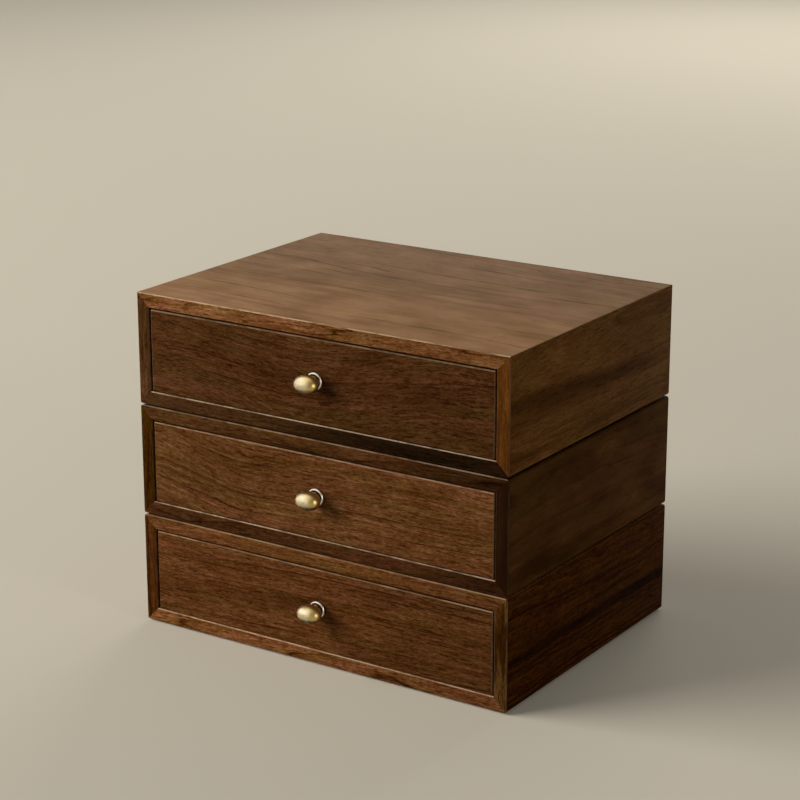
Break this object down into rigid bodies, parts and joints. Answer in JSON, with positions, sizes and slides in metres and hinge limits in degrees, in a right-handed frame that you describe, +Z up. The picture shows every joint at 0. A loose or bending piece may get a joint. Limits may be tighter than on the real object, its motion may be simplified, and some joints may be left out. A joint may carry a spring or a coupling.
{
  "type": "desktop mini drawers",
  "caption": "Stack of low walnut desktop boxes with mitred corners, each holding one wide drawer with a dovetailed box and an oval brass knob.",
  "frame": {"origin": "centre of the whole footprint, knobs included, on the surface the lowest felt pads stand on", "axes": "+X to the right across the drawer fronts, +Y from the fronts to the back, +Z up; the drawers open along -Y"},
  "size_m": [0.3, 0.2364, 0.243],
  "materials": {
    "walnut_case": "oiled walnut, satin, grain along each board",
    "walnut_panel": "oiled walnut veneer panel, satin",
    "walnut_front": "oiled walnut, satin, grain across the front",
    "drawer_wood": "pale hardwood, fine sanded and waxed",
    "drawer_panel": "thin birch plywood, waxed",
    "spline_wood": "pale hardwood, hidden in the mitres",
    "brass": "satin brass, lightly brushed",
    "brass_screw": "plain brass wood screws",
    "steel": "zinc-plated machine screw",
    "felt": "dark felt"
  },
  "bodies": {
    "lower_case": {"lower_case_top": "walnut_case", "lower_case_bottom": "walnut_case", "lower_case_left": "walnut_case", "lower_case_right": "walnut_case", "lower_case_back": "walnut_panel", "lower_mitre_splines": "spline_wood", "lower_felt_pads": "felt"},
    "lower_drawer": {"lower_drawer_front": "walnut_front", "lower_drawer_left_side": "drawer_wood", "lower_drawer_right_side": "drawer_wood", "lower_drawer_back": "drawer_wood", "lower_drawer_bottom": "drawer_panel", "lower_bottom_screws": "brass_screw", "lower_knob": "brass", "lower_knob_rosette": "brass", "lower_knob_screw": "steel"},
    "middle_case": {"middle_case_top": "walnut_case", "middle_case_bottom": "walnut_case", "middle_case_left": "walnut_case", "middle_case_right": "walnut_case", "middle_case_back": "walnut_panel", "middle_mitre_splines": "spline_wood", "middle_felt_pads": "felt"},
    "middle_drawer": {"middle_drawer_front": "walnut_front", "middle_drawer_left_side": "drawer_wood", "middle_drawer_right_side": "drawer_wood", "middle_drawer_back": "drawer_wood", "middle_drawer_bottom": "drawer_panel", "middle_bottom_screws": "brass_screw", "middle_knob": "brass", "middle_knob_rosette": "brass", "middle_knob_screw": "steel"},
    "upper_case": {"upper_case_top": "walnut_case", "upper_case_bottom": "walnut_case", "upper_case_left": "walnut_case", "upper_case_right": "walnut_case", "upper_case_back": "walnut_panel", "upper_mitre_splines": "spline_wood", "upper_felt_pads": "felt"},
    "upper_drawer": {"upper_drawer_front": "walnut_front", "upper_drawer_left_side": "drawer_wood", "upper_drawer_right_side": "drawer_wood", "upper_drawer_back": "drawer_wood", "upper_drawer_bottom": "drawer_panel", "upper_bottom_screws": "brass_screw", "upper_knob": "brass", "upper_knob_rosette": "brass", "upper_knob_screw": "steel"}
  },
  "joints": [
    {"name": "lower_drawer_slide", "type": "slide", "parent": "lower_case", "child": "lower_drawer", "axis": [0, -1, 0], "range_m": [0, 0.17]},
    {"name": "middle_drawer_slide", "type": "slide", "parent": "middle_case", "child": "middle_drawer", "axis": [0, -1, 0], "range_m": [0, 0.17]},
    {"name": "upper_drawer_slide", "type": "slide", "parent": "upper_case", "child": "upper_drawer", "axis": [0, -1, 0], "range_m": [0, 0.17]},
    {"name": "middle_box_lift", "type": "slide", "parent": "lower_case", "child": "middle_case", "axis": [0, 0, 1], "range_m": [0, 0.06]},
    {"name": "upper_box_lift", "type": "slide", "parent": "middle_case", "child": "upper_case", "axis": [0, 0, 1], "range_m": [0, 0.06]}
  ]
}
